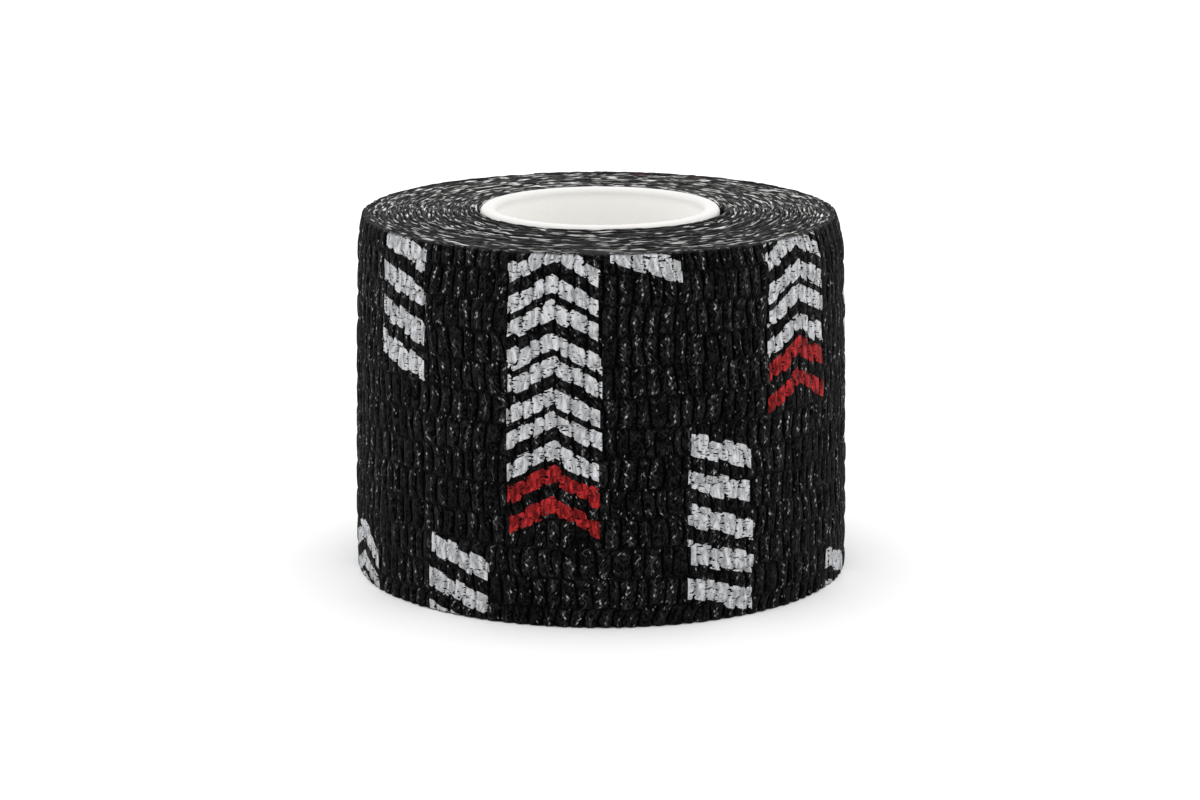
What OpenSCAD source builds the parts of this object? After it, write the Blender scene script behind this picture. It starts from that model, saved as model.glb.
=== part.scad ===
// Roll of elastic hand-wrapping tape on a plastic core.
//
// The roll stands on end. The origin is on the core's axis at the lower end, and +Z runs up
// the core. The tape is wound anticlockwise seen from above, and its free end is at the back (+Y).
//
// A spiral of constant pitch is drawn as half turns. Each half turn is a true arc. The arcs of
// the +Y side share one centre and those of the -Y side another, so each arc starts where the
// one before it ends, in the same direction.

/* [Core] */
// Outside diameter of the core tube
core_od = 33.4; // [28:0.1:40]
// Wall thickness of the core tube
core_wall = 2.2; // [1.6:0.1:3]
// Length of the core tube
core_length = 51; // [50:0.1:52]
// Radius of the rounded rims at both ends of the core
rim_round = 0.7; // [0.3:0.05:0.75]

/* [Tape] */
// Width of the tape, which is the height of the wound part
tape_width = 50.4; // [48:0.1:50.8]
// Thickness of the tape: two crepe webs with elastic yarns between them
tape_thickness = 0.59; // [0.55:0.01:0.6]
// Growth of the roll's radius over one turn
turn_pitch = 0.65; // [0.65:0.01:0.7]
// Half turns between the core and the outermost turn
inner_half_turns = 50; // [10:2:50]
// Gap left between two layers of one tape that are pressed together
layer_gap = 0.02; // [0.01:0.01:0.03]
// Gap between the edges of neighbouring turns, where the tape isn't pressed together
edge_gap = 0.15; // [0.1:0.01:0.2]
// Depth of that gap from either end of the roll
edge_gap_depth = 1; // [0.5:0.1:2]

/* [Elastic yarns] */
// Number of elastic yarns across the tape
yarn_count = 12; // [8:1:12]
// Distance between neighbouring yarns
yarn_pitch = 4.1; // [3.5:0.1:4.2]
// Thickness of one yarn, a flat-sided bundle of elastic filaments
yarn_side = 0.22; // [0.18:0.01:0.22]
// Play of a yarn in the channel that the two webs leave for it
yarn_play = 0.02; // [0.01:0.01:0.03]

/* [Free end] */
// Angle round the roll at which the free end starts to peel off
peel_angle = 75; // [65:1:85]
// How far below the peel line the outermost turn starts, in degrees round the roll
outer_overlap = 12; // [8:1:20]
// Length of the free end in degrees round the roll
tail_angle = 32; // [20:1:40]
// Clearance under the free end, where it lies on the turn below
tail_lift = 0.15; // [0.12:0.01:0.2]
// Clearance along the tape at the peel line
peel_gap = 0.1; // [0.08:0.01:0.2]

/* [Hidden] */
$fn = 96;
function numbered(name, i) = str(name, "_", i < 10 ? "0" : "", i);

core_colour = "whitesmoke";
tape_colour = [0.11, 0.11, 0.12];
yarn_colour = [0.2, 0.2, 0.21];

core_r = core_od / 2;
bore_r = core_r - core_wall;
// The first half turn is off centre by a quarter of the pitch, and it still clears the core
first_r = core_r + layer_gap + turn_pitch / 4;
outer_turn = inner_half_turns;
outer_start = peel_angle - outer_overlap;
tail_turn = inner_half_turns + 2;
tail_start = peel_angle + peel_gap / half_turn_r(tail_turn) * 180 / PI;
tail_end = peel_angle + tail_angle;
first_yarn_z = (tape_width - (yarn_count - 1) * yarn_pitch) / 2;

// Inner radius of the tape in one half turn
function half_turn_r(half_turn) = first_r + half_turn * turn_pitch / 2;
// Even half turns lie on the +Y side, odd ones on the -Y side
function half_turn_x(half_turn) = (half_turn % 2 == 0 ? -1 : 1) * turn_pitch / 4;
function half_turn_start(half_turn) = half_turn % 2 == 0 ? 0 : 180;
// Height of one yarn's centre
function yarn_z(i) = first_yarn_z + (i - 1) * yarn_pitch;

// The child's outline, with x as depth in the tape and y as height, swept along a half turn
// from a start angle through so many degrees, clockwise if they are negative
module sweep(half_turn, start, degrees) {
    translate([half_turn_x(half_turn), 0, 0])
        rotate([0, 0, start])
            rotate_extrude(angle = degrees)
                translate([half_turn_r(half_turn), 0])
                    children();
}

// The child's outline swept along a whole half turn
module sweep_half(half_turn) {
    sweep(half_turn, half_turn_start(half_turn), 180) children();
}

// The child's outline swept once round the outside of the roll, from its start to the peel line.
// The first stretch is swept backwards from the end that it shares with the second
module sweep_outer() {
    sweep(outer_turn, 180, outer_start - 180) children();
    sweep_half(outer_turn + 1) children();
    sweep(tail_turn, 0, peel_angle) children();
}

// The child's outline swept along the free end
module sweep_tail() {
    sweep(tail_turn, tail_start, tail_end - tail_start) children();
}

// Outline of one web between two depths, with half of each yarn's channel cut in one side
module web_outline(depth, thickness, channel_depth) {
    channel = yarn_side + 2 * yarn_play;
    difference() {
        translate([depth, 0]) square([thickness, tape_width]);
        for (i = [1:yarn_count])
            translate([channel_depth - channel / 2, yarn_z(i) - channel / 2]) square(channel);
    }
}

// Outline of the web that faces outwards
module face_outline(inner_depth) {
    middle = (inner_depth + tape_thickness) / 2;
    web_outline(middle + layer_gap / 2, tape_thickness - middle - layer_gap / 2, middle);
}

// Outline of the web that faces the core
module back_outline(inner_depth) {
    middle = (inner_depth + tape_thickness) / 2;
    web_outline(inner_depth, middle - layer_gap / 2 - inner_depth, middle);
}

// Outline of one yarn
module yarn_outline(i, inner_depth) {
    translate([(inner_depth + tape_thickness) / 2, yarn_z(i)]) square(yarn_side, center = true);
}

// Plastic tube that the tape is wound on, with rounded rims
module core() {
    color(core_colour)
        rotate_extrude()
            translate([bore_r, 0]) {
                translate([0, rim_round]) square([core_wall, core_length - 2 * rim_round]);
                translate([rim_round, 0]) square([core_wall - 2 * rim_round, core_length]);
                for (x = [rim_round, core_wall - rim_round], z = [rim_round, core_length - rim_round])
                    translate([x, z]) circle(rim_round);
            }
}

// Seen from above, one side of the roll out to a half turn's outer face
module half_disc(half_turn) {
    r = half_turn_r(half_turn) + tape_thickness;
    intersection() {
        translate([half_turn_x(half_turn), 0]) circle(r);
        rotate(half_turn_start(half_turn)) translate([-2 * r, 0]) square([4 * r, 2 * r]);
    }
}

// Outline of the gaps at both ends of the roll between a turn and the next one out
module edge_gap_outline() {
    for (z = [-edge_gap_depth, tape_width - edge_gap_depth])
        translate([turn_pitch - edge_gap, z]) square([edge_gap, 2 * edge_gap_depth]);
}

// All turns below the outermost one. They cling together as one body, and only their edges
// stand apart, as a spiral at both ends of the roll
module inner_turns() {
    last_layer = inner_half_turns - 2;
    color(tape_colour)
        difference() {
            union() {
                linear_extrude(tape_width)
                    difference() {
                        union() {
                            half_disc(last_layer);
                            half_disc(last_layer + 1);
                        }
                        circle(core_r + layer_gap);
                    }
                sweep(outer_turn, 0, outer_start)
                    translate([-turn_pitch / 2, 0])
                        square([turn_pitch / 2 + tape_thickness, tape_width]);
            }
            for (half_turn = [0:last_layer - 1])
                sweep_half(half_turn) edge_gap_outline();
            sweep(last_layer, 0, outer_start) edge_gap_outline();
        }
}

// Crepe web on the outside of the outermost turn
module outer_face_web() {
    color(tape_colour) sweep_outer() face_outline(0);
}

// Crepe web on the inside of the outermost turn
module outer_back_web() {
    color(tape_colour) sweep_outer() back_outline(0);
}

// One elastic yarn between the webs of the outermost turn
module elastic_yarn(i) {
    color(yarn_colour) sweep_outer() yarn_outline(i, 0);
}

// Crepe web on the outside of the free end
module tail_face_web() {
    color(tape_colour) sweep_tail() face_outline(tail_lift);
}

// Crepe web on the underside of the free end
module tail_back_web() {
    color(tape_colour) sweep_tail() back_outline(tail_lift);
}

// One elastic yarn between the webs of the free end
module tail_yarn(i) {
    color(yarn_colour) sweep_tail() yarn_outline(i, tail_lift);
}

core();
inner_turns();
outer_face_web();
outer_back_web();
tail_face_web();
tail_back_web();
for (i = [1:yarn_count]) {
    elastic_yarn(i);
    tail_yarn(i);
}
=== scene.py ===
"""Roll of black cohesive hand-wrapping tape on a white core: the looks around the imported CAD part.

Lengths are in millimetres up to the point where a mesh is made, and MM turns them into metres.
The tape is wound anticlockwise seen from above. A winding angle counts degrees from the tape's
start at the core, and an arc length counts millimetres along the outer face from the roll's front.
"""

import math

import bpy
import numpy as np
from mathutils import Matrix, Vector


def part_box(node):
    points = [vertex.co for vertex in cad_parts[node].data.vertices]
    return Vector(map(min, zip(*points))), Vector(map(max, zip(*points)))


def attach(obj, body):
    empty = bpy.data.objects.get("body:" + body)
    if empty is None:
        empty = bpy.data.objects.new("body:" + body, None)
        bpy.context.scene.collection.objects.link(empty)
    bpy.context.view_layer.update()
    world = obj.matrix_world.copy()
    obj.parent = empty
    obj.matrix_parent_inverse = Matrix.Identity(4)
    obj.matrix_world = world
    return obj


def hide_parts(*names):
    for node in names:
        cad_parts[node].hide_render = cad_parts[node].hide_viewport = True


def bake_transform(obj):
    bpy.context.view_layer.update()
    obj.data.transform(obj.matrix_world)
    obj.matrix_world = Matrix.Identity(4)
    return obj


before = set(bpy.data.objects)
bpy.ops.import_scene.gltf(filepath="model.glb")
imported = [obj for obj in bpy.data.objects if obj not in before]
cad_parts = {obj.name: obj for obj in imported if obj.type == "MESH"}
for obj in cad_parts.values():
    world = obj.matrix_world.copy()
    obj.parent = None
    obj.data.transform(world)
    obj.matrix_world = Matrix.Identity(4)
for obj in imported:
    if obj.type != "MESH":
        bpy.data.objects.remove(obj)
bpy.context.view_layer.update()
MM = 0.001

# ---- the roll, as part.scad winds it ---------------------------------------------------------
PITCH = 0.65
THICKNESS = 0.59
LAYER_GAP = 0.02
CORE_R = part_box("core")[1].x / MM
CORE_WALL = 2.2
TAPE_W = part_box("inner_turns")[1].z / MM
FIRST_R = CORE_R + LAYER_GAP + PITCH / 4
OUTER_HALF = 50
PEEL_ANGLE = 75.0
TAIL_ANGLE = 32.0
OVERLAP_ANGLE = 12.0
YARN_COUNT = 12
YARN_PITCH = 4.1
FIRST_YARN_Z = (TAPE_W - (YARN_COUNT - 1) * YARN_PITCH) / 2
TAIL_LIFT = 0.15

# Winding angles of the roll's front, the peel line, the outermost turn's start and the cut end
FRONT = (OUTER_HALF + 1) * 180 + 90
PEEL = (OUTER_HALF + 2) * 180 + PEEL_ANGLE
OUTER_START = OUTER_HALF * 180 + PEEL_ANGLE - OVERLAP_ANGLE
TAIL_END = PEEL + TAIL_ANGLE


def half_turn_r(half):
    """Inner radius of the tape in a half turn."""
    return FIRST_R + half * PITCH / 2


def wound(angle, depth, z):
    """Points on the wound tape, from winding angles, depths from its inner face and heights."""
    half = np.floor(angle / 180)
    r = half_turn_r(half) + depth
    x = np.where(half % 2 == 0, -1, 1) * PITCH / 4
    a = np.radians(angle)
    return np.stack(np.broadcast_arrays(x + r * np.cos(a), r * np.sin(a), z), axis=-1)


# Arc lengths at the ends of the last half turns, from two before the outermost turn
KNOTS = 6
KNOT_ANGLES = (OUTER_HALF - 2 + np.arange(KNOTS)) * 180.0
KNOT_STEPS = [math.pi * (half_turn_r(a / 180) + THICKNESS) for a in KNOT_ANGLES[:-1]]
KNOT_ARCS = np.concatenate([[0], np.cumsum(KNOT_STEPS)])
KNOT_ARCS -= np.interp(FRONT, KNOT_ANGLES, KNOT_ARCS)


def arc_of(angle):
    """Arc length along the outer face of the last turns, 0 at the front."""
    return np.interp(angle, KNOT_ANGLES, KNOT_ARCS)


def angle_at(arc):
    """Winding angle at an arc length: arc_of the other way round."""
    return np.interp(arc, KNOT_ARCS, KNOT_ANGLES)


# ---- noise -----------------------------------------------------------------------------------
NOISE_LINE = 4096
NOISE_SQUARE = 256

# Seeds of the random values. Those of rows and yarns have the row's or yarn's number added
(SEED_TURN, SEED_TOP_FINE, SEED_TOP_LONG, SEED_LOW_FINE, SEED_LOW_LONG, SEED_CRIMP,
 SEED_CRIMP_FINE, SEED_TILT, SEED_TOP_PATCH) = range(20, 29)
SEED_CORE = 30
SEED_PUFFS = 41
SEED_EDGE_LOW, SEED_EDGE_HIGH = 70, 71
SEED_TIP = 80
SEED_STUB = 90
SEED_ROW_LONG, SEED_ROW_SHORT = 100, 200
SEED_UNEVEN, SEED_GRAIN = 300, 301
SEED_PINCH = 400
SEED_DRIFT = 500
SEED_WOBBLE = 600


def ease(t):
    """0 up to t of 0, 1 from t of 1, and a smooth step between."""
    t = np.clip(t, 0, 1)
    return t * t * (3 - 2 * t)


def noise(x, seed):
    """Smooth noise from -1 to 1 along a line, with one random value per unit of x."""
    table = np.random.RandomState(seed).uniform(-1, 1, NOISE_LINE)
    cell = np.floor(x).astype(int)
    t = ease(x - cell)
    return table[cell % NOISE_LINE] * (1 - t) + table[(cell + 1) % NOISE_LINE] * t


def noise2(x, y, seed):
    """Smooth noise from -1 to 1 on a plane, with one random value per unit square."""
    size = NOISE_SQUARE
    table = np.random.RandomState(seed).uniform(-1, 1, (size, size))
    i, j = np.floor(x).astype(int), np.floor(y).astype(int)
    u, v = ease(x - i), ease(y - j)
    i, j, right, up = i % size, j % size, (i + 1) % size, (j + 1) % size
    near = table[i, j] * (1 - u) + table[right, j] * u
    far = table[i, up] * (1 - u) + table[right, up] * u
    return near * (1 - v) + far * v


# ---- crepe: rows of puffs between the yarns ---------------------------------------------------
PUFF_W = 1.95
# Mesh lines across a puff, and up a row: whole rows, and the half rows at the tape's edges
PUFF_STEPS = np.array([0, 0.08, 0.22, 0.40, 0.60, 0.78, 0.92])
ROW_STEPS = np.array([0.035, 0.09, 0.18, 0.32, 0.5, 0.68, 0.82, 0.91, 0.965])
EDGE_ROW_STEPS = np.array([0.06, 0.16, 0.34, 0.56, 0.78])
# Heights above the face's nominal depth: a puff's crest, the deepest crease, the deepest crease
# under the print, and the pinch at a yarn
CREST = 0.17
CREASE = -0.42
FILM_CREASE = -0.20
PINCH = -0.11
# How these vary: the crest by a factor, the others by so many mm
CREST_RANGE = (0.55, 1.1)
CREASE_RISE = 0.24
PINCH_NOISE = 0.05
# Ripples on a puff: height, count across it, slant up it, and how the print calms them and the
# crest
RIPPLE = 0.065
RIPPLES = (1.0, 2.2)
RIPPLE_SLANT = 2.5
CALM_CREST, CALM_RIPPLE = 0.2, 0.5
# The crease fades before it meets a yarn: where it is gone, and over what share of a half row
CREASE_GONE, CREASE_FADE = 0.94, 0.28
# How far creases stray, in shares of a puff's width: slowly along a row, left and right by
# turns from row to row, and by chance
DRIFT, STAGGER, JITTER = 0.34, 0.21, 0.2
DRIFT_PUFFS = 5.5
# And in mm, where a crease crosses a yarn, and all the way up it
JOIN_JITTER, WOBBLE = 0.22, 0.15
# How far the tape's edges lie inside its nominal width, and how far their rims stand out again
TOP_DROP, BOTTOM_LIFT = 0.15, 0.10
RIM_UP, RIM_DOWN = 0.14, 0.05
# The roll's side: its bulge, its taper, and its shoulder's height and depth
BARREL = 0.42
TAPER = 0.9
SHOULDER_H, SHOULDER_IN = 5.0, 0.65
FOOT_H, FOOT_IN = 2.0, 0.15
# Added to the row numbers of the free end's underside, which has no print
BACK_ROWS = 100.0

# ---- the generic print: stacks of marks on a slanted lattice along the tape -------------------
# A family is its middle, bottom, width, pitch, count and slope, and how far every third mark
# is moved up.
LATTICE_STEP = 36.9
LATTICE_RISE = 15.0
LATTICE_UP = 81.0
# The print pulls the creases flat, fading over this width at a mark's edge
MARK_EDGE = 0.8
# How far below its bottom a mark's own stretch of tape starts, and above it the first chevron
MARK_BELOW = 12.0
CHEVRON_START = 2.0
FLECK_COLOUR = (0.38, 0.38, 0.375)
CHEVRONS = (-6.3, 13.1, 12.4, 7.4, 5, 0.50, 53.0)
BARS_HIGH = (6.0, 47.9, 9.4, 4.9, 5, 0.3, 0.0)
BARS_LOW = (16.6, 2.2, 9.4, 4.9, 5, 0.3, 0.0)


def film_box(s, z):
    """1 where a printed mark lies, soft at its edges, without the mark's own pattern."""
    cover = np.zeros_like(s)
    for middle, bottom, width, pitch, count, _, third in (CHEVRONS, BARS_HIGH, BARS_LOW):
        step = np.floor((s - middle) / LATTICE_STEP + 0.5)
        x = np.abs(s - middle - step * LATTICE_STEP)
        rise = step * LATTICE_RISE + third * (np.mod(step, 3) > 1.5)
        y = np.mod(z - bottom - rise + 1, LATTICE_UP) - 1
        inside = 1.0
        for within in (width / 2 - x, y, pitch * count - y):
            inside = inside * ease(within / MARK_EDGE + 0.5)
        cover = np.maximum(cover, inside)
    return cover


def bulge(x, width, slope):
    """A hump that is 1 at x of 0 and falls to 0 at -1 and 1."""
    return (1 - np.abs(x) ** width) ** slope


class Crepe:
    """The puffs of the outermost turn and the free end. Column boundaries are the deep creases,
    and row boundaries are the lines where the yarns pinch the tape."""

    def __init__(self):
        rng = np.random.RandomState(SEED_PUFFS)
        s0, s_peel, s1 = arc_of(OUTER_START), arc_of(PEEL), arc_of(TAIL_END)
        middle = s_peel - PUFF_W / 2
        self.seam = int((middle - s0) / PUFF_W)
        self.count = self.seam + int(round((s1 - middle) / PUFF_W))
        self.rows = YARN_COUNT + 1
        i = np.arange(self.count + 1)
        drift = [noise(i / DRIFT_PUFFS, SEED_DRIFT + row) for row in range(self.rows)]
        side = np.where(np.arange(self.rows) % 2 == 0, -STAGGER, STAGGER)[:, None]
        jitter = rng.uniform(-JITTER, JITTER, (self.rows, self.count + 1))
        wander = DRIFT * np.array(drift) + side + jitter
        wander[:, self.seam] *= 0.5
        self.edges = middle + (i[None] - self.seam + wander) * PUFF_W
        self.edges[:, 0], self.edges[:, -1] = s0, s1
        padded = np.vstack([self.edges[:1], self.edges, self.edges[-1:]])
        self.joins = (padded[:-1] + padded[1:]) / 2
        self.joins[:, 1:-1] += rng.uniform(-JOIN_JITTER, JOIN_JITTER, self.joins[:, 1:-1].shape)
        self.floor = CREASE + CREASE_RISE * rng.uniform(0, 1, self.edges.shape) ** 2
        shape = (self.rows, self.count)
        self.top = CREST * rng.uniform(*CREST_RANGE, shape)
        self.phase = rng.uniform(0, 2 * np.pi, shape)
        self.lean = rng.uniform(-RIPPLE_SLANT, RIPPLE_SLANT, shape)
        self.ridges = rng.uniform(*RIPPLES, shape)

    def row_line(self, row, s):
        """Height of the boundary under a row, which wanders a little along the tape."""
        if row == 0:
            return np.full_like(s, BOTTOM_LIFT) + 0.04 * noise(s / 1.1, SEED_EDGE_LOW)
        if row == self.rows:
            return np.full_like(s, TAPE_W - TOP_DROP) + 0.05 * noise(s / 1.1, SEED_EDGE_HIGH)
        z = FIRST_YARN_Z + (row - 1) * YARN_PITCH
        z = z + 0.24 * noise(s / 1.45, SEED_ROW_LONG + row)
        return z + 0.10 * noise(s / 0.5, SEED_ROW_SHORT + row)

    def place(self, row, v, columns):
        """Arc lengths of the columns at a level v of a row, on creases that run on from row
        to row."""
        low, high = self.joins[row], self.joins[row + 1]
        lines = low * (1 - v) + high * v
        lines = lines + (self.edges[row] - (low + high) / 2) * (4 * v * (1 - v)) ** 0.2
        crease = np.arange(self.count + 1)
        wobble = noise((row + v) * 3.7 + crease * 13.7, SEED_WOBBLE) * (crease != self.seam)
        lines[1:-1] += WOBBLE * wobble[1:-1]
        i, u = columns
        right = np.minimum(i + 1, self.count)
        return lines[i] * (1 - u) + lines[right] * u

    def pinched(self, row, v):
        """How close a level of a row is to a yarn: 0 halfway up, 1 at the yarn. A cut edge has
        no yarn, so towards it this stays 0."""
        cut = (row == 0 and v < 0.5) or (row == self.rows - 1 and v > 0.5)
        return 0.0 if cut else abs(2 * v - 1)

    def relief(self, row, v, columns):
        """Height of the face above its nominal depth at a level v of a row."""
        i, u = columns
        right = np.minimum(i + 1, self.count)
        puff = np.minimum(i, self.count - 1)
        film = film_box(self.place(row, v, columns), FIRST_YARN_Z + (row - 1 + v) * YARN_PITCH)
        base = self.floor[row][i] * (1 - u) + self.floor[row][right] * u
        base = base * (1 - film) + np.maximum(base, FILM_CREASE) * film
        pinch = PINCH + PINCH_NOISE * noise(i + row * 37, SEED_PINCH)
        end = self.pinched(row, v)
        base = pinch + (base - pinch) * ease((CREASE_GONE - end) / CREASE_FADE)
        ripple = np.sin(self.phase[row][puff] + 2 * np.pi * self.ridges[row][puff] * u
                        + self.lean[row][puff] * v)
        top = self.top[row][puff] * (1 - CALM_CREST * film)
        top = top + RIPPLE * (1 - CALM_RIPPLE * film) * ripple
        full = bulge(end, 4.0, 0.8)
        puffed = base + (top - base) * bulge(2 * u - 1, 2.4, 0.7)
        return pinch * (1 - full) + puffed * full

    def columns(self, first, last):
        """(puff index, place in the puff) of each mesh column from one crease to another."""
        i = np.repeat(np.arange(first, last), len(PUFF_STEPS))
        u = np.tile(PUFF_STEPS, last - first)
        return np.append(i, last), np.append(u, 0.0)

    def face(self, first, last):
        """The outer surface: its mesh columns, the row number plus level of each row line,
        and arrays (row line, column) of arc, height and relief."""
        columns = self.columns(first, last)
        lines = []
        for row in range(self.rows):
            steps = EDGE_ROW_STEPS if row in (0, self.rows - 1) else ROW_STEPS
            if row == 0:
                steps = 1 - steps[::-1]
                lines.append((0, 0.0))
            lines += [(row, v) for v in steps]
            lines.append((row, 1.0))
        arcs, heights, reliefs = [], [], []
        for row, v in lines:
            arc, relief = self.place(row, v, columns), self.relief(row, v, columns)
            if v == 1.0 and row < self.rows - 1:
                relief = (relief + self.relief(row + 1, 0.0, columns)) / 2
            low, high = self.row_line(row, arc), self.row_line(row + 1, arc)
            arcs.append(arc)
            heights.append(low + (high - low) * v)
            reliefs.append(relief)
        arcs, heights, reliefs = map(np.array, (arcs, heights, reliefs))
        reliefs = reliefs + 0.05 * noise2(arcs / 9, heights / 9, SEED_UNEVEN)
        reliefs = reliefs + 0.018 * noise2(arcs / 0.35, heights / 0.6, SEED_GRAIN)
        row_at = np.array([row + v for row, v in lines])
        return columns, row_at, arcs, heights, np.maximum(reliefs, CREASE)


def profile(z):
    """How far the roll's side stands out from a straight cylinder: it bulges low down, tapers
    upwards and rounds over at the top."""
    t = np.clip(z / TAPE_W, 0, 1)
    up = np.clip((z - (TAPE_W - SHOULDER_H)) / SHOULDER_H, 0, 1.05)
    down = np.clip(1 - z / FOOT_H, 0, 1)
    return BARREL - TAPER * t ** 2.2 - SHOULDER_IN * up ** 2 - FOOT_IN * down ** 2


# ---- meshes ----------------------------------------------------------------------------------
def make_mesh(name, points, parts, uv_parts, body):
    """A smooth mesh object from points in mm. parts is a list of face arrays, one row of
    vertex numbers to a face, and uv_parts gives each UV layer a list of corner arrays."""
    mesh = bpy.data.meshes.new(name)
    sizes = np.concatenate([np.full(len(part), part.shape[1]) for part in parts])
    loops = np.concatenate([part.ravel() for part in parts])
    mesh.vertices.add(len(points))
    mesh.vertices.foreach_set("co", (points * MM).astype(np.float32).ravel())
    mesh.loops.add(len(loops))
    mesh.loops.foreach_set("vertex_index", loops.astype(np.int32))
    mesh.polygons.add(len(sizes))
    mesh.polygons.foreach_set("loop_start", (np.cumsum(sizes) - sizes).astype(np.int32))
    mesh.polygons.foreach_set("loop_total", sizes.astype(np.int32))
    mesh.polygons.foreach_set("use_smooth", np.ones(len(sizes), bool))
    for uv_name, values in uv_parts.items():
        layer = mesh.uv_layers.new(name=uv_name)
        flat = np.concatenate([np.asarray(v, float).reshape(-1, 2) for v in values])
        layer.data.foreach_set("uv", flat.astype(np.float32).ravel())
    mesh.update(calc_edges=True)
    mesh.validate()
    obj = bpy.data.objects.new(name, mesh)
    bpy.context.scene.collection.objects.link(obj)
    if body:
        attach(obj, body)
    return obj


def tube_faces(rings, columns):
    """Quads of a closed tube, whose vertices are numbered ring line by ring line."""
    r = np.arange(rings)[:, None]
    c = np.arange(columns - 1)[None]
    n = (r + 1) % rings
    low, high = r * columns + c, n * columns + c
    return np.stack([low, low + 1, high + 1, high], axis=-1).reshape(-1, 4)


def corners(grid):
    """Values of a (ring line, column) grid at the four corners of each quad of tube_faces."""
    high = np.roll(grid, -1, axis=0)
    return np.stack([grid[:, :-1], grid[:, 1:], high[:, 1:], high[:, :-1]], axis=-1)


def ring_corners(values, columns):
    """Corners of each quad of tube_faces, for values that stay the same along a ring line."""
    return corners(np.broadcast_to(values[:, None], (len(values), columns)))


def pair(u, v):
    """Two coordinates as one UV array."""
    return np.stack([u, v], axis=-1)


def flat_caps(rings, columns):
    """One face across each end of a tube, and the values of a UV layer there."""
    ring = np.arange(rings) * columns
    caps = np.stack([ring, (ring + columns - 1)[::-1]])
    return caps, np.zeros((caps.size, 2))


def end_caps(rings, columns):
    """Quads that close both ends of a tube whose two halves mirror each other, and the ring
    numbers and columns of their corners."""
    r = np.arange(rings // 2 - 1)
    loop = np.stack([r, r + 1, rings - 2 - r, rings - 1 - r], axis=-1)
    start, end = loop, loop[:, ::-1]
    ring = np.concatenate([start, end])
    column = np.concatenate([np.zeros_like(start), np.full_like(end, columns - 1)])
    return ring * columns + column, ring, column


def unit(values):
    """The values moved and scaled to lie from 0 to 1."""
    low, high = np.min(values), np.max(values)
    return (values - low) / (high - low)


# ---- the tape's pieces -----------------------------------------------------------------------
WALL_LINES = 13
# Texture layout of the outer turn: its face in four bands, two by two. In each half of the map
# these give the start and size of a band, of the face in it, and of the hidden inner wall
BANDS = 4
BAND_U = (0.006, 0.488)
FACE_V = (0.006, 0.455)
WALL_V = (0.468, 0.028)


def band_map(arcs, heights, is_wall):
    """Corners of the outer turn's quads in its texture layout."""
    columns = arcs.shape[1]
    s = unit(np.median(arcs, axis=0))
    band = np.minimum((s[:-1] * BANDS).astype(int), BANDS - 1)
    first = np.array([np.argmax(band == b) for b in range(BANDS)] + [columns - 1])
    low, high = s[first[band]], s[first[band + 1]]
    left, right = (s[:-1] - low) / (high - low), (s[1:] - low) / (high - low)
    u = np.stack([left, right, right, left], axis=-1)[None]
    u = (band % 2)[None, :, None] * 0.5 + BAND_U[0] + BAND_U[1] * u
    v = ring_corners(unit(heights), columns)
    wall, face = (start + size * v for start, size in (WALL_V, FACE_V))
    v = np.where(is_wall[:, None, None], wall, face) + (band // 2)[None, :, None] * 0.5
    return pair(np.broadcast_to(u, v.shape), v)


def lean(angle, z):
    """How far the wound tape leans out or in: less and less from the outside inwards."""
    depth = np.maximum(OUTER_HALF + 1 - angle / 180, 0)
    side = 1.1 + 0.25 * np.cos(np.radians(angle)) * (z > TAPE_W / 2)
    return profile(z) * np.where(profile(z) < 0, side, 1) * np.exp(-depth / 5)


def rims(arcs, heights):
    """Heights of the lines where the crepe rounds over at the tape's upper and lower edge."""
    up = heights[-1:] + RIM_UP + 0.03 * noise(arcs[-1:] / 0.7, SEED_TIP)
    return up, heights[:1] - RIM_DOWN


def puff_map(columns, ring_row):
    """UV layer of a crepe tube: puff number plus place across it, and row number plus level."""
    i, u = columns
    left = (i + u)[:-1]
    right = np.where(u[1:] == 0, i[:-1] + 1, (i + u)[1:])
    up = ring_corners(ring_row, len(i))
    return pair(np.broadcast_to(np.stack([left, right, right, left], axis=-1), up.shape), up)


def outer_turn(crepe):
    """The outermost turn, a closed tube of crepe whose end is the free end's first crease."""
    columns, row_at, arcs, heights, reliefs = crepe.face(0, crepe.seam)
    rim_up, rim_down = rims(arcs, heights)
    down = np.linspace(1, 0, WALL_LINES)[:, None]
    wall_s = down * (arcs[-1] - arcs[0]) + arcs[0]
    wall_z = down * (heights[-1] - heights[0]) + heights[0]
    middle = np.full_like(rim_up, THICKNESS / 2)
    all_s = np.vstack([arcs, arcs[-1:], wall_s, arcs[:1]])
    all_z = np.vstack([heights, rim_up, wall_z, rim_down])
    all_d = np.vstack([THICKNESS + reliefs, middle, np.zeros_like(wall_z), middle])
    angles = angle_at(all_s)
    points = wound(angles, all_d + lean(angles, all_z), all_z).reshape(-1, 3)
    rings, count = all_s.shape
    n = len(row_at)
    is_wall = np.zeros(rings, bool)
    is_wall[n + 1:n + WALL_LINES] = True
    wall_row = np.linspace(crepe.rows, 0, WALL_LINES)
    ring_row = np.concatenate([row_at, [crepe.rows], wall_row, [0.0]])
    face_v, wall_v = np.linspace(0.6, 50.4, n), np.linspace(50, 0, WALL_LINES)
    map_v = np.concatenate([face_v, [51], wall_v, [0.0]])
    caps, zeros = flat_caps(rings, count)
    uvs = {
        "OFBake": [band_map(all_s, map_v, is_wall), zeros],
        "strip": [pair(corners(all_s), corners(all_z)), zeros],
        "puff": [puff_map(columns, ring_row), zeros],
    }
    return make_mesh("outer_turn_tape", points, [tube_faces(rings, count), caps], uvs, "roll")


# The free end parts from the roll over this length. Its underside follows the face's puffs and
# creases by a share, between two limits
PEEL_EASE = 2.0
UNDER_SHARE = 0.6
UNDER_LIMITS = (-0.22, 0.12)


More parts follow.
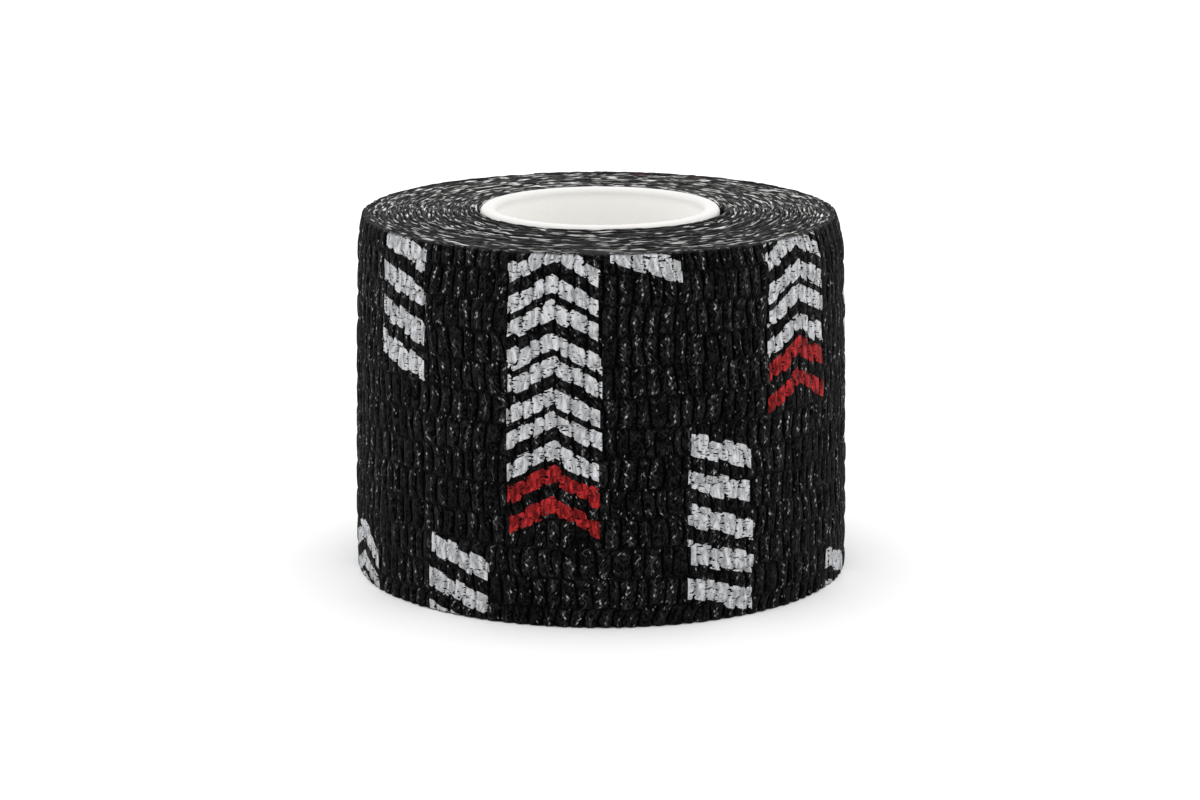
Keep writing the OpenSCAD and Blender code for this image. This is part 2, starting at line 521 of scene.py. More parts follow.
def free_end(crepe):
    """The free end past the peel line: crepe on both sides, cut straight across."""
    columns, row_at, arcs, heights, reliefs = crepe.face(crepe.seam, crepe.count)
    free = ease((arcs - arcs[:, :1]) / PEEL_EASE)
    under = free * (TAIL_LIFT - UNDER_SHARE * np.clip(reliefs, *UNDER_LIMITS))
    middle = (THICKNESS + reliefs + under) / 2
    middle = middle * free + THICKNESS / 2 * (1 - free)
    rim_up, rim_down = rims(arcs, heights)
    all_s = np.vstack([arcs, arcs[-1:], arcs[::-1], arcs[:1]])
    all_z = np.vstack([heights, rim_up, heights[::-1], rim_down])
    all_d = np.vstack([THICKNESS + reliefs, middle[-1:], under[::-1], middle[:1]])
    angles = angle_at(all_s)
    all_d = all_d + lean(angles, all_z)
    points = wound(angles, all_d, all_z).reshape(-1, 3)
    rings, count = all_s.shape
    n = len(row_at)
    is_back = np.arange(rings) > n
    ring_row = np.concatenate([row_at, [crepe.rows], row_at[::-1], [0.0]])
    puff = puff_map(columns, ring_row)
    puff[..., 1] += BACK_ROWS * is_back[:, None, None]
    caps, cap_ring, cap_column = end_caps(rings, count)
    cap_s = (all_s - all_d)[cap_ring, cap_column]
    cap_z = all_z[cap_ring, cap_column]
    bake, cap_bake = free_end_map(arcs, is_back, cap_ring, cap_column)
    uvs = {
        "OFBake": [bake, cap_bake],
        "strip": [pair(corners(all_s), corners(all_z)), pair(cap_s, cap_z)],
        "puff": [puff, pair(np.full(cap_s.shape, crepe.count - 0.5), ring_row[cap_ring])],
    }
    return make_mesh("free_end_tape", points, [tube_faces(rings, count), caps], uvs, None)


def free_end_map(arcs, is_back, cap_ring, cap_column):
    """Texture layout of the free end, side by side: its face, its underside, and its two ends
    in narrow strips."""
    n = len(arcs)
    span = unit(np.median(arcs, axis=0))
    across = np.where(is_back[:, None], 0.38, 0.01) + 0.35 * span
    up = np.linspace(0.02, 0.98, n)
    up = np.concatenate([up, [0.99], up[::-1], [0.01]])
    bake = pair(corners(across), ring_corners(up, len(span)))
    cap_side = np.where(is_back[cap_ring], 0.03, 0.0) + np.where(cap_column == 0, 0.76, 0.84)
    return bake, pair(cap_side, up[cap_ring])


INNER_STEP = 0.45
# The first turns stand higher near the core and the last ones lower, over so many turns
CORE_RISE, CORE_TURNS = 0.50, 2.5
LAST_FALL, LAST_TURNS = 0.15, 1.5
# The wound strip's outline: depth as a share of its thickness, the edge or middle that it is
# measured from, height above that, and how much of the crimp it takes
INNER_OUTLINE = (
    (0.86, "low", 0.06, 1.0), (1.0, "low", 0.5, 0.8), (1.0, "middle", 0.0, 0.2),
    (1.0, "top", -0.5, 0.8), (0.88, "top", -0.05, 1.0), (0.5, "top", 0.07, 1.0),
    (0.12, "top", -0.05, 1.0), (0.0, "top", -0.5, 0.8), (0.0, "low", 0.5, 0.8),
    (0.14, "low", 0.06, 1.0),
)
# Where these lines lie across the edge in the UV layer of that name. The upper cut edge runs
# from 49 to 51 with its crest at 50.2; the edge's tone is full around 50.6 and painted darker
# away from it, as painted shade in the gaps between turns
EDGE_ACROSS = np.array([-0.5, -0.1, 25, 49, 49.9, 50.2, 50.5, 51, 51.5, 52])
SHADE_FREE_AT = 50.6


def cut_edges(s, angles, px, py):
    """Heights of the lower edge, the middle and the upper edge along the wound strip."""
    turn = angles / 360
    top = TAPE_W - 0.14 + 0.13 * noise(turn * 1.7, SEED_TURN)
    top = top + 0.03 * noise(s / 0.9, SEED_TOP_FINE)
    top = top + 0.07 * noise(s / 5, SEED_TOP_LONG)
    top = top - LAST_FALL * np.exp(-np.maximum(OUTER_HALF / 2 - turn, 0) / LAST_TURNS)
    top = top + CORE_RISE * np.exp(-turn / CORE_TURNS)
    top = top + 0.07 * noise2(px / 1.6, py / 1.6, SEED_TOP_PATCH)
    low = 0.1 + 0.05 * noise(s / 0.9, SEED_LOW_FINE) + 0.05 * noise(s / 6, SEED_LOW_LONG)
    return {"low": low, "middle": TAPE_W * 0.5 + 0 * s, "top": top}


def inner_map(points, all_s, all_z):
    """Texture layout of the inner turns: both ends of the roll as seen, and the strip's walls
    stretched out."""
    flat = unit(points[..., 0]) * 0.58, unit(points[..., 1]) * 0.58
    top_uv, low_uv = (pair(*(corners(axis) + start for axis in flat)) for start in (0.003, 0.417))
    wall_s, wall_z = all_s / all_s.max(), all_z / TAPE_W
    wall_uv = pair(corners(0.62 + 0.36 * wall_s), corners(0.02 + 0.36 * wall_z))
    ring = np.arange(len(all_s))[:, None, None, None]
    bake = np.where((ring >= 3) & (ring <= 6), top_uv, wall_uv)
    return np.where((ring == 0) | (ring >= 8), low_uv, bake)


def inner_turns():
    """The wound turns inside the outermost one: one closed spiral strip, whose cut edges show
    on top and underneath."""
    knots = np.arange(OUTER_HALF + 2) * 180.0
    lengths = np.pi * (half_turn_r(knots[:-1] / 180) + THICKNESS / 2)
    total = np.concatenate([[0], np.cumsum(lengths)])
    end = np.interp(OUTER_START, knots, total)
    s = np.linspace(0, end, int(end / INNER_STEP))
    angles = np.interp(s, total, knots)
    flat = wound(angles, THICKNESS / 2 + 0 * s, 0 * s)
    px, py = flat[:, 0], flat[:, 1]
    level = cut_edges(s, angles, px, py)
    crimp = 0.17 * noise2(px / 2.2, py / 2.2, SEED_CRIMP)
    crimp = crimp + 0.03 * noise(s / 0.8, SEED_CRIMP_FINE)
    tilt = 0.07 * noise(s / 1.1, SEED_TILT)
    all_z = np.array([level[name] + up for _, name, up, _ in INNER_OUTLINE])
    all_d = np.array([part * THICKNESS + share * crimp + tilt * (z > TAPE_W / 2)
                      for (part, _, _, share), z in zip(INNER_OUTLINE, all_z)])
    rings, count = all_z.shape
    all_s, all_angles = np.broadcast_to(s, all_z.shape), np.broadcast_to(angles, all_z.shape)
    points = wound(all_angles, all_d + lean(all_angles, all_z), all_z)
    caps, zeros = flat_caps(rings, count)
    uvs = {
        "OFBake": [inner_map(points, all_s, all_z), zeros],
        "strip": [pair(corners(all_s), corners(all_z)), zeros],
        "edge": [pair(corners(all_s), ring_corners(EDGE_ACROSS, count)), zeros],
    }
    faces = [tube_faces(rings, count), caps]
    return make_mesh("inner_turns_tape", points.reshape(-1, 3), faces, uvs, "roll")


YARN_R = 0.09
YARN_SIDES = 6
# How far a yarn runs below the middle of the tape, starts inside it and stands out of its end
YARN_DEEPER = 0.10
YARN_START = 0.2
YARN_STUB = 0.5
# Mesh lines along a yarn: how many in the outer turn, and how far apart in the free end
YARN_LINES = 400
YARN_STEP = 0.3


def yarn(crepe, number, tail):
    """One elastic yarn between the tape's faces, in the outer turn or in the free end."""
    s_seam = arc_of(PEEL) - PUFF_W / 2
    if tail:
        s = np.arange(s_seam, arc_of(TAIL_END) + YARN_STUB, YARN_STEP)
    else:
        s = np.linspace(arc_of(OUTER_START) + YARN_START, s_seam, YARN_LINES)
    around = np.linspace(0, 2 * np.pi, YARN_SIDES, endpoint=False)[:, None]
    past = np.maximum(s - arc_of(TAIL_END), 0)
    droop = noise(np.array([number * 1.0]), SEED_STUB)[0] * 0.5
    middle = THICKNESS / 2 - YARN_DEEPER + ease((s - s_seam) / PEEL_EASE) * TAIL_LIFT
    all_z = crepe.row_line(number, s) + past * droop + YARN_R * np.sin(around)
    angles = np.broadcast_to(angle_at(s), all_z.shape)
    all_d = middle + YARN_R * np.cos(around) + lean(angles, all_z)
    points = wound(angles, all_d, all_z).reshape(-1, 3)
    rings, count = all_z.shape
    caps, zeros = flat_caps(rings, count)
    all_s = np.broadcast_to(s, all_z.shape)
    turns = ring_corners(np.linspace(0, 1, rings), count)
    uvs = {
        "OFBake": [pair(corners(unit(all_s)), turns), zeros],
        "strip": [pair(corners(all_s), turns), zeros],
    }
    name = f"{'free_end' if tail else 'outer_turn'}_yarn_{number:02d}"
    faces = [tube_faces(rings, count), caps]
    return make_mesh(name, points, faces, uvs, None if tail else "roll")


# ---- the core --------------------------------------------------------------------------------
CORE_SIDES = 256
RIM_R = 0.75
# The bands that the mould leaves in the bore: height, and width of one
BAND_H, BAND_W = 0.012, 4


def core_tube():
    """The moulded core: a tube whose two rims are rounded, with faint bands left by its mould."""
    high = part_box("core")[1]
    outer, height = high.x / MM, high.z / MM
    inner = outer - CORE_WALL
    turn = np.radians(np.linspace(0, 90, 9))
    away, down = RIM_R * np.cos(turn), RIM_R - RIM_R * np.sin(turn)
    out_x, in_x = outer - RIM_R + away, inner + RIM_R - away
    outer_z, wall_z = (np.linspace(RIM_R, height - RIM_R, n)[1:-1] for n in (6, 60))
    wall_x = inner + BAND_H * noise(wall_z / BAND_W, SEED_CORE)
    r = [out_x[::-1], np.full(len(outer_z), outer), out_x, in_x[::-1], wall_x[::-1], in_x]
    z = [down[::-1], outer_z, height - down, (height - down)[::-1], wall_z[::-1], down]
    return lathe("core_tube", np.concatenate(r), np.concatenate(z), CORE_SIDES, "roll")


def lathe(name, r, z, sides, body):
    """A closed outline turned round the roll's axis."""
    a = np.linspace(0, 2 * np.pi, sides, endpoint=False)
    grid = np.stack(np.broadcast_arrays(r[:, None] * np.cos(a), r[:, None] * np.sin(a),
                                        z[:, None]), axis=-1)
    rings = len(r)
    i = np.arange(rings)[:, None]
    c = np.arange(sides)[None]
    n, d = (i + 1) % rings, (c + 1) % sides
    quads = np.stack(np.broadcast_arrays(i * sides + c, i * sides + d, n * sides + d,
                                         n * sides + c), axis=-1).reshape(-1, 4)
    step = np.hypot(np.diff(np.append(r, r[0])), np.diff(np.append(z, z[0])))
    along = np.concatenate([[0], np.cumsum(step)])
    u = np.stack(np.broadcast_arrays(c, c + 1, c + 1, c), axis=-1) / sides
    v = np.stack([along[:-1], along[:-1], along[1:], along[1:]], axis=-1)[:, None]
    u, v = np.broadcast_arrays(u, v)
    uvs = {"OFBake": [pair(u, v / along[-1])], "strip": [pair(u * 2 * np.pi * r.max(), v)]}
    return make_mesh(name, grid.reshape(-1, 3), [quads], uvs, body)


# ---- materials -------------------------------------------------------------------------------
class Value:
    """A number inside a node tree. Arithmetic on it adds math nodes to the tree."""

    def __init__(self, nodes, socket):
        self.nodes, self.socket = nodes, socket

    def __add__(self, other):
        return self.nodes.calc("ADD", self, other)

    def __sub__(self, other):
        return self.nodes.calc("SUBTRACT", self, other)

    def __mul__(self, other):
        return self.nodes.calc("MULTIPLY", self, other)

    def __truediv__(self, other):
        return self.nodes.calc("DIVIDE", self, other)

    def floor(self):
        return self.nodes.calc("FLOOR", self)

    def fract(self):
        return self.nodes.calc("FRACT", self)

    def abs(self):
        return self.nodes.calc("ABSOLUTE", self)

    def above(self, limit):
        return self.nodes.calc("GREATER_THAN", self, limit)

    def below(self, limit):
        return self.nodes.calc("LESS_THAN", self, limit)

    def inverse(self):
        """1 where the value is 0, and 0 where it is 1."""
        return self * -1.0 + 1.0

    def ramp(self, low, high):
        """0 to 1 as the value goes smoothly from low to high."""
        node = self.nodes.add("MapRange", interpolation_type="SMOOTHSTEP")
        for name, value in (("Value", self), ("From Min", low), ("From Max", high)):
            self.nodes.put(node.inputs[name], value)
        return Value(self.nodes, node.outputs["Result"])


class Nodes:
    """The node tree of one material, with its Principled BSDF."""

    def __init__(self, name, **settings):
        self.material = bpy.data.materials.new(name)
        self.material.use_nodes = True
        self.tree = self.material.node_tree
        self.tree.nodes.clear()
        output = self.add("OutputMaterial")
        self.surface = self.add("BsdfPrincipled")
        self.tree.links.new(self.surface.outputs[0], output.inputs["Surface"])
        for key, value in settings.items():
            self.set(key.replace("_", " "), value)

    def add(self, kind, **settings):
        node = self.tree.nodes.new("ShaderNode" + kind)
        for key, value in settings.items():
            setattr(node, key, value)
        return node

    def put(self, socket, value):
        if isinstance(value, Value):
            self.tree.links.new(value.socket, socket)
        else:
            socket.default_value = value

    def set(self, name, value):
        self.put(self.surface.inputs[name], value)

    def calc(self, operation, *values):
        node = self.add("Math", operation=operation)
        for socket, value in zip(node.inputs, values):
            self.put(socket, value)
        return Value(self, node.outputs[0])

    def uv(self, name):
        """The two coordinates of a UV layer."""
        node = self.add("UVMap", uv_map=name)
        split = self.add("SeparateXYZ")
        self.tree.links.new(node.outputs[0], split.inputs[0])
        return Value(self, split.outputs[0]), Value(self, split.outputs[1])

    def place(self, x, y, z=0.0):
        node = self.add("CombineXYZ")
        for socket, value in zip(node.inputs, (x, y, z)):
            self.put(socket, value)
        return Value(self, node.outputs[0])

    def noise(self, x, y, detail=0.0, z=0.0):
        """Noise from 0 to 1 on a plane, with about one bump to a unit."""
        node = self.add("TexNoise", noise_dimensions="3D")
        self.put(node.inputs["Vector"], self.place(x, y, z))
        self.put(node.inputs["Scale"], 1.0)
        self.put(node.inputs["Detail"], detail)
        return Value(self, node.outputs[0])

    def dots(self, x, y):
        """Scattered points, one to a unit square: distance to the nearest, and its random."""
        node = self.add("TexVoronoi", voronoi_dimensions="2D")
        self.put(node.inputs["Vector"], self.place(x, y))
        self.put(node.inputs["Scale"], 1.0)
        split = self.add("SeparateColor")
        self.tree.links.new(node.outputs["Color"], split.inputs[0])
        return Value(self, node.outputs["Distance"]), Value(self, split.outputs[0])

    def randoms(self, x, y):
        """Three random numbers from 0 to 1 for each whole x and y."""
        node = self.add("TexWhiteNoise", noise_dimensions="2D")
        self.put(node.inputs["Vector"], self.place(x.floor(), y.floor()))
        split = self.add("SeparateColor")
        self.tree.links.new(node.outputs["Color"], split.inputs[0])
        return [Value(self, output) for output in split.outputs]

    def blend(self, factor, a, b):
        """Colour a where factor is 0, and b where it is 1."""
        node = self.add("Mix", data_type="RGBA")
        self.put(node.inputs["Factor"], factor)
        for socket, value in ((node.inputs[6], a), (node.inputs[7], b)):
            self.put(socket, value if isinstance(value, Value) else (*value, 1.0))
        return Value(self, node.outputs[2])

    def bump(self, height, distance):
        """Small relief in the shading, as high as distance in mm where height is 1."""
        node = self.add("Bump")
        for name, value in (("Distance", distance * MM), ("Strength", 1.0), ("Height", height)):
            self.put(node.inputs[name], value)
        self.set("Normal", Value(self, node.outputs[0]))


def mark(nodes, s, z, family):
    """A place inside one family of printed marks: x from the mark's middle line, y up from
    its bottom, and 1 within its width."""
    middle, bottom, width, _, _, _, third = family
    step = ((s - middle) / LATTICE_STEP + 0.5).floor()
    x = s - middle - step * LATTICE_STEP
    rise = step * LATTICE_RISE + nodes.calc("FLOORED_MODULO", step, 3.0).above(1.5) * third
    y = nodes.calc("FLOORED_MODULO", z - (bottom - MARK_BELOW) - rise, LATTICE_UP)
    return x, y - MARK_BELOW, x.abs().below(width / 2)


def printed(nodes, s, z, spread):
    """Masks of the white and the red print: stacks of double chevrons, the lowest one red,
    and stacks of slanted bars. The strokes widen where spread is more than 0."""
    _, _, _, pitch, count, slope, _ = CHEVRONS
    x, y, inside = mark(nodes, s, z, CHEVRONS)
    level = (y + x.abs() * slope - CHEVRON_START) / pitch
    stroke = (level.fract() * 2.0 - 1.0).abs()
    stroke = stroke.above(spread * -1.0 + 0.28) * stroke.below(spread + 0.84)
    chevrons = stroke * inside * level.above(0.0) * level.below(float(count))
    red = chevrons * level.below(1.0)
    white = chevrons - red
    for family in (BARS_HIGH, BARS_LOW):
        _, _, _, pitch, count, slope, _ = family
        x, y, inside = mark(nodes, s, z, family)
        level = (y + x * slope) / pitch
        bars = (level.fract() - 0.3).abs().below(spread * 0.6 + 0.27) * inside
        white = white + bars * level.above(0.0) * level.below(float(count))
    return white, red


class CrepePlace:
    """Where a point of the crepe lies: s and z on the tape, u across its puff, the puff's own
    random numbers ra, rb and rc, and masks of the puff's parts."""

    def __init__(self, nodes):
        self.s, self.z = nodes.uv("strip")
        column, self.row = nodes.uv("puff")
        self.ra, self.rb, self.rc = nodes.randoms(column, self.row)
        self.u = column.fract()
        # How far from the puff's middle: 0.5 at a crease, and at a yarn
        self.side, self.end = (self.u - 0.5).abs(), (self.row.fract() - 0.5).abs()
        self.crest = self.side.ramp(0.485, 0.34)
        self.inside = self.end.ramp(0.475, 0.37)
        lean = (self.ra.above(0.5) * 2.0 - 1.0) * (self.rb * 0.5 + 0.08)
        self.across = self.s + self.z * lean
        self.wisps = nodes.noise(self.s / 0.8, self.z / 1.4, 1.0)
        # The slot along each crease, which crepe_fibres darkens as painted shade and where no flecks
        # lie
        slot = self.side + (self.wisps - 0.5) * 0.12 + (self.ra - 0.5) * 0.08
        self.slot = slot.ramp(0.36, 0.43) * self.end.ramp(0.475, 0.425)
        # The puff's middle thread, a little off centre
        self.thread = self.u - self.rc * 0.3 - 0.35
        cut = self.z.ramp(TAPE_W - 0.4, TAPE_W), self.z.ramp(0.25, 0.05)
        self.cut = nodes.calc("MAXIMUM", *cut)


def crepe_fibres(nodes, at):
    """Tone and height of the black web: strands slanting from the middle thread, curls and
    hairs, with painted shade that darkens the tone in the creases and towards the yarns."""
    fold = at.thread.abs() * PUFF_W
    down = at.z + fold * (at.ra.above(0.35) * 2.0 - 1.0) * (at.rb * 0.6 + 0.9)
    strand = nodes.noise(down / 0.27, fold / 0.8 + at.s * 0.4, 1.0, at.rb * 31.0)
    strand = strand.ramp(0.52, 0.63)
    curl = nodes.noise(at.s / 0.8 + at.wisps, at.z / 1.2, 1.0, at.ra * 40.0)
    curl = (curl - 0.5).abs().ramp(0.055, 0.015)
    hair = nodes.noise(at.across / 0.6 + at.wisps, at.z / 2.2, 1.0, at.rc * 40.0)
    hair = (hair - 0.5).abs().ramp(0.05, 0.012)
    patches = nodes.noise(at.s / 1.6, at.z / 2.2, 1.0).ramp(0.3, 0.6)
    tone = strand * 0.0048 + curl * (patches * 0.8 + 0.2) * 0.010 + hair * 0.007 + 0.0010
    # Painted shade: the tone darkens over the ends of each row, most on a yarn's pinch line
    seam = (at.end.ramp(0.495, 0.445) * 0.75 + 0.25) * (at.inside * 0.4 + 0.6)
    # Painted shade: the crease slots keep only a twentieth of the tone; each puff's random tone is
    # its own
    tone = tone * (at.slot * -0.95 + 1.0) * seam * (at.rb * 0.5 + 0.75)
    return tone, strand * 0.6 + curl * 0.5 + hair * 0.5


def crepe_flecks(nodes, at):
    """Mask of the white fibres: beads and a faint twine along the middle thread of most puffs,
    and strays on the crests."""
    weave = (nodes.noise(at.z / 0.9, at.ra * 50.0, 1.0) - 0.5) * 0.6
    thread = at.thread + weave
    bead, shine = nodes.dots(thread * 4.4 + at.rb * 50.0, at.z / 0.72 + at.ra * 9.0)
    bead = bead.ramp(0.36, 0.17) * shine.ramp(0.20, 0.90) * thread.abs().ramp(0.14, 0.08)
    power = nodes.noise(at.z / 1.3, at.rc * 30.0, 0.0).ramp(0.36, 0.62)
    twine = (thread + (at.wisps - 0.5) * 0.2).abs().ramp(0.06, 0.02) * 0.10
    fleck = nodes.calc("MAXIMUM", bead, twine) * power * at.rb.above(0.25)
    fleck = fleck * at.slot.inverse() * (at.inside * 0.85 + 0.15)
    speck = at.across + at.z * (at.ra - 0.5) * 0.5
    strays, chance = nodes.dots(speck / 0.42 + 31.0, at.z / 0.8)
    stray = strays.ramp(0.28, 0.12) * chance.ramp(0.86, 1.0) * at.crest
    return nodes.calc("MAXIMUM", fleck, stray * 0.5)


def crepe_cut(nodes, at):
    """Colour of the tape's cut edges: dark, with light dashes of fibre ends."""
    grain = nodes.noise(at.s / 0.22, at.z / 0.22, 1.0)
    dash = nodes.noise(at.s / 0.9, at.z / 0.14, 1.0).ramp(0.58, 0.72)
    fray = grain * 0.02 + dash * 0.16 + 0.008
    return nodes.place(fray, fray, fray)


def print_masks(nodes, at):
    """Masks of the print's film, of white and of red. The film breaks in the deep creases,
    opens in small slits along them, and is missing on the underside."""
    worn = nodes.noise(at.s / 0.40, at.z / 0.55, 1.0, at.rb * 9.0)
    crack = at.side * 2.0 + (worn - 0.5) * 0.45
    pinch = at.end * 2.0 + (worn - 0.5) * 0.4
    solid = crack.ramp(1.14, 1.05) * pinch.ramp(1.12, 1.02)
    slit = nodes.noise(at.s / 0.55, at.z / 0.22, 0.0, at.ra * 5.0)
    near = at.side.ramp(0.25, 0.47) * 0.13 + at.end.ramp(0.40, 0.49) * 0.05
    hole = (slit + near).ramp(0.70, 0.75)
    scallop = at.crest * 0.10 - 0.11 + at.wisps * 0.10
    shifted = at.s + (at.ra - 0.5) * 0.6, at.z + (at.rc - 0.5) * 0.7
    white, red = printed(nodes, *shifted, scallop)
    film = solid * hole.inverse() * (white + red) * at.cut.inverse()
    return film * at.row.below(BACK_ROWS / 2), white, red


def print_ink(nodes, at):
    """White and red of the print, and the height of its folds. The ridges and folds are painted
    lighter in both inks as painted highlights, and the white is painted darker towards the
    creases as painted shade.
    """
    ridge_glint = nodes.noise(at.across / 0.18, at.z / 1.2, 1.0, at.rc * 7.0).ramp(0.30, 0.72)
    pits = nodes.noise(at.s / 0.16, at.z / 0.10, 1.0).ramp(0.62, 0.78)
    cloud = nodes.noise(at.s / 0.8, at.z / 0.8, 1.0)
    folds = nodes.noise(at.s / 0.55 + at.wisps * 0.6, at.z / 1.9, 1.0, at.rb * 20.0)
    folds = folds.ramp(0.36, 0.64)
    # Painted highlights: the ridges and folds lift the white's brightness
    bright = ridge_glint * 0.18 + cloud * 0.16 + folds * 0.24 - pits * 0.14 + 0.15
    # Painted shade: the white darkens by about a fifth towards the creases
    bright = bright * (at.crest * 0.22 + 0.78)
    # Painted highlights: the ridges and folds lift the red
    blood = (ridge_glint * 0.7 + 0.5) * (folds * 0.28 + cloud * 0.12 + 0.08)
    white = nodes.place(bright * 0.985, bright, bright * 1.03)
    red = nodes.place(blood, blood * 0.055, blood * 0.06)
    return white, red, folds * 0.9 + ridge_glint * 0.3


def crepe_material():
    """Black cohesive crepe: fine strands, white fibres on the puffs, and the print."""
    nodes = Nodes("black_crepe", Specular_IOR_Level=0.02, Sheen_Weight=0.04)
    at = CrepePlace(nodes)
    tone, height = crepe_fibres(nodes, at)
    fleck = crepe_flecks(nodes, at)
    base = nodes.blend(fleck, nodes.place(tone, tone, tone * 1.02), FLECK_COLOUR)
    base = nodes.blend(at.cut, base, crepe_cut(nodes, at))
    film, white, red = print_masks(nodes, at)
    white_ink, red_ink, folds = print_ink(nodes, at)
    base = nodes.blend(film * white, base, white_ink)
    base = nodes.blend(film * red, base, red_ink)
    nodes.set("Base Color", base)
    nodes.set("Roughness", film * -0.45 + 0.95)
    nodes.set("Sheen Roughness", 0.4)
    nodes.bump(height + fleck * 0.6 + film * folds, 0.07)
    return nodes.material


def edge_material():
    """The wound tape seen at its cut edges: thin grey fibres that run round the roll, with
    light dashes where white fibre ends show, over dark walls. Painted shade darkens each edge
    towards its sides, where the gaps between turns lie."""
    nodes = Nodes("wound_edges", Roughness=0.92, Specular_IOR_Level=0.2)
    s, z = nodes.uv("strip")
    _, across = nodes.uv("edge")
    wave = nodes.noise(s / 0.9, s * 0.0, 1.0)
    fine = nodes.noise(s / 1.6, across / 0.33, 1.0).ramp(0.44, 0.66)
    dash = nodes.noise(s / 2.6, across / 0.52 + 7.0, 1.0).ramp(0.54, 0.61)
    band = nodes.noise(s / 40.0, s * 0.0 + 3.0, 2.0).ramp(0.35, 0.65)
    spell = nodes.noise(s / 2.6, s * 0.0 + 9.0, 1.0).ramp(0.36, 0.62)
    tone = fine * 0.060 + dash * (band * 0.28 + 0.29) + wave * 0.008 + 0.004
    # Painted shade: the tone falls off towards both sides of the edge, where the gaps between turns
    # lie
    gap = (across - SHADE_FREE_AT).abs().ramp(0.80, 0.35)
    tone = tone * (spell * 0.75 + 0.35) * (gap * 1.05 + 0.15)
    near = nodes.calc("MAXIMUM", z.ramp(TAPE_W - 0.8, TAPE_W - 0.4), z.ramp(0.6, 0.3))
    dark = near * tone + near.inverse() * 0.012
    nodes.set("Base Color", nodes.place(dark, dark, dark * 0.98))
    nodes.bump(fine * 0.6 + dash, 0.08)
    return nodes.material


def plastic_material():
    """Off-white moulded polypropylene: faint speckle, softly uneven gloss, and painted shade over
    the rim.
    """
    nodes = Nodes("core_plastic_white", Specular_IOR_Level=0.45)
    s, z = nodes.uv("strip")
    rim_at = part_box("core")[1].z / MM
    speck, chance = nodes.dots(s / 1.1, z / 1.1)
    dots = speck.ramp(0.14, 0.06) * chance.above(0.4)
    cloud = nodes.noise(s / 9.0, z / 9.0, 2.0)
    grain = nodes.noise(s / 0.25, z / 0.25, 1.0)
    # Painted shade: the tone is a third darker over the rim, from the top of the outer side over the
    # lip to about a millimetre down the bore
    rim_shade = z.ramp(rim_at - 0.5, rim_at + 0.3) * z.ramp(rim_at + 3.8, rim_at + 1.8)
    tone = (cloud * 0.04 - dots * 0.04 + 0.89) * (rim_shade * -0.32 + 1.0)
    nodes.set("Base Color", nodes.place(tone, tone * 0.985, tone * 0.955))
    nodes.set("Roughness", cloud * 0.12 + 0.36)
    nodes.set("Subsurface Weight", 0.12)
    nodes.put(nodes.surface.inputs["Subsurface Radius"], (0.002, 0.002, 0.0018))
    nodes.bump(grain * 0.5 + dots, 0.01)
    return nodes.material


def yarn_material():
    """Bare elastic thread: pale, slightly waxy rubber."""
    nodes = Nodes("elastic_thread", Specular_IOR_Level=0.4)
    s, turn = nodes.uv("strip")
    rings = nodes.noise(s / 0.25, turn * 3.0, 1.0)
    tone = rings * 0.2 + 0.35
    nodes.set("Base Color", nodes.place(tone, tone * 0.98, tone * 0.92))
    nodes.set("Roughness", rings * 0.2 + 0.45)
    nodes.bump(rings, 0.02)
    return nodes.material


def floor_material():
    """Matt and almost white."""
    nodes = Nodes("studio_floor", Roughness=0.7, Specular_IOR_Level=0.1)
    nodes.set("Base Color", (0.86, 0.86, 0.86, 1.0))
    return nodes.material


# ---- the pieces ------------------------------------------------------------------------------
CREPE = Crepe()
YARNS = range(1, YARN_COUNT + 1)
# Height of a point on the peel line, which build_tape works out
BEND_Z = 25.0


def dress(obj, material):
    """Give a piece its material."""
    obj.data.materials.append(material)
    return obj


def build_tape():
    """The tape's pieces, and the CAD nodes that they replace."""
    black, edges, thread = crepe_material(), edge_material(), yarn_material()
    turn = dress(outer_turn(CREPE), black)
    tail = dress(free_end(CREPE), black)
    inner = dress(inner_turns(), edges)
    peel = wound(np.array(PEEL), np.array(THICKNESS), np.array(BEND_Z)) * MM
    for number in YARNS:
        held = dress(yarn(CREPE, number, False), thread)
        loose = dress(yarn(CREPE, number, True), thread)
        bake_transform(loose)
        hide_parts(f"elastic_yarn_{number:02d}")
        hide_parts(f"tail_yarn_{number:02d}")
    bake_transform(tail)
    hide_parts("outer_face_web", "outer_back_web")
    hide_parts("tail_face_web", "tail_back_web")
    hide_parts("inner_turns")


def build_core():
    """The core, which replaces the CAD one."""
    core = dress(core_tube(), plastic_material())
    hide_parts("core")


# ---- studio ----------------------------------------------------------------------------------
FLOOR_HALF = 4.0
WORLD_STRENGTH = 1.10
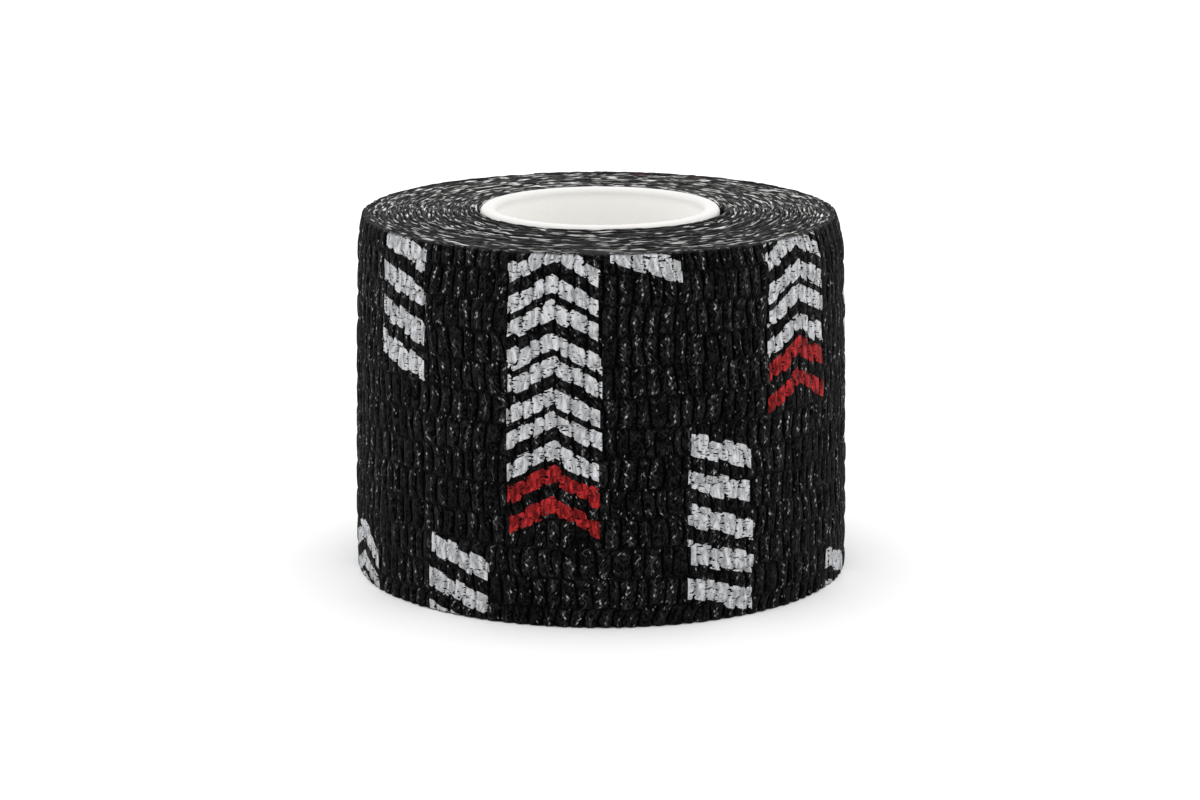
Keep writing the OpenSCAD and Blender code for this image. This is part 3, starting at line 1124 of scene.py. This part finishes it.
# Name, power in watts, side in metres, place, and the point that it shines at
LIGHTS = (
    ("overhead", 43.0, 4.0, (0.0, 0.3, 2.5), (0, 0.3, 0)),
    ("left", 0.4, 0.3, (-0.6, 0.1, 0.25), (0, 0, 0.03)),
    ("right", 0.4, 0.3, (0.6, 0.1, 0.25), (0, 0, 0.03)),
)
CAMERA_AT = (0.0, -0.4766, 0.1341)
CAMERA_DOWN = 13.1
CAMERA_LENS = 104.0


def floor():
    """A pale floor that runs out of sight."""
    square = np.array([[-1, -1, 0], [1, -1, 0], [1, 1, 0], [-1, 1, 0]], float)
    uvs = {"strip": [(square[:, :2] + 1) / 2]}
    points = square * FLOOR_HALF / MM
    obj = make_mesh("studio_floor", points, [np.array([[0, 1, 2, 3]])], uvs, None)
    obj.data.materials.append(floor_material())


def light(name, power, size, place, target):
    """A square area light that shines at a point."""
    data = bpy.data.lights.new(name, "AREA")
    data.shape = "SQUARE"
    data.size = size
    data.energy = power
    obj = bpy.data.objects.new(name, data)
    obj.location = place
    obj.rotation_euler = (Vector(target) - Vector(place)).to_track_quat("-Z", "Y").to_euler()
    bpy.context.scene.collection.objects.link(obj)


def studio():
    """The floor, an even white surround and the lights."""
    floor()
    world = bpy.data.worlds.new("studio")
    world.use_nodes = True
    background = world.node_tree.nodes["Background"]
    background.inputs["Color"].default_value = (1, 1, 1, 1)
    background.inputs["Strength"].default_value = WORLD_STRENGTH
    bpy.context.scene.world = world
    for settings in LIGHTS:
        light(*settings)
    bpy.context.scene.view_settings.view_transform = "Standard"


def camera():
    """The picture's camera: in front, looking a little down."""
    data = bpy.data.cameras.new("camera")
    data.lens = CAMERA_LENS
    data.sensor_width = 36.0
    data.clip_start = 0.01
    data.clip_end = 50.0
    obj = bpy.data.objects.new("camera", data)
    obj.location = CAMERA_AT
    obj.rotation_euler = (math.radians(90 - CAMERA_DOWN), 0, 0)
    bpy.context.scene.collection.objects.link(obj)
    bpy.context.scene.camera = obj


build_core()
build_tape()
studio()
camera()
